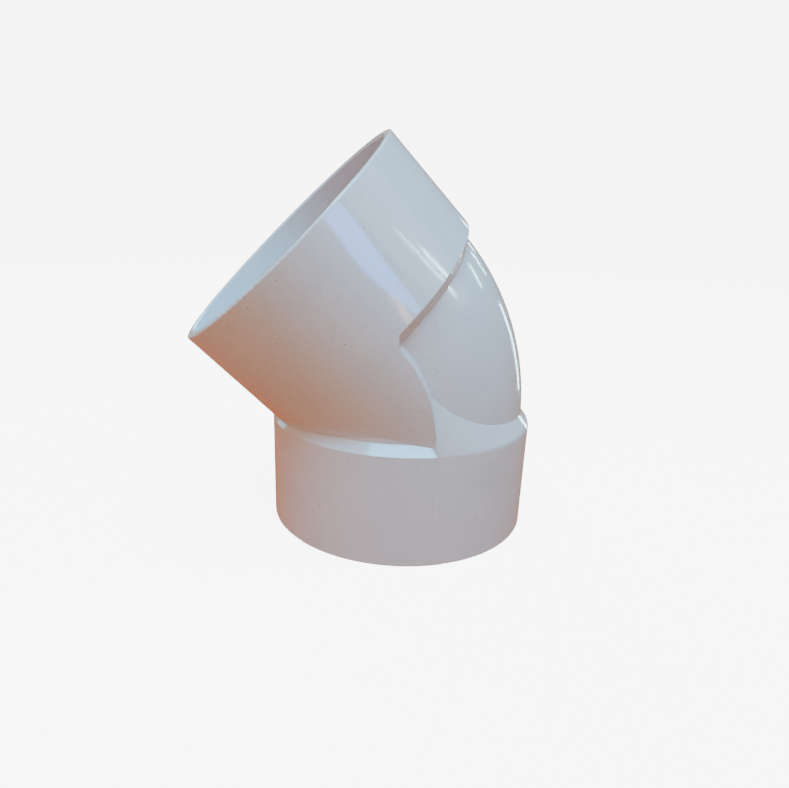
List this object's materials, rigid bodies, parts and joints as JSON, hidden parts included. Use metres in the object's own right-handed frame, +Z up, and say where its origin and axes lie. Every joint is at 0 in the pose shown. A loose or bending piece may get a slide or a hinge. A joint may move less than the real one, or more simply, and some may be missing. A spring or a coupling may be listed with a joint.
{
  "type": "pipe elbow",
  "caption": "45 degree elbow for waste pipe with two equal plain solvent-weld sockets, in off-white rigid plastic",
  "frame": {"origin": "centre of the lower socket's mouth, in the plane of its rim", "axes": "+Z up the lower socket's axis into the fitting; the upper socket leans 45 degrees towards -X; XZ is the plane of symmetry"},
  "size_m": [0.1536, 0.1184, 0.1692],
  "materials": {
    "pvc": "gloss"
  },
  "bodies": {
    "root": {"lower_socket": "pvc", "lower_pipe_stop": "pvc", "bend_outer_half": "pvc", "bend_throat_half": "pvc", "upper_pipe_stop": "pvc", "upper_socket": "pvc"}
  },
  "joints": []
}
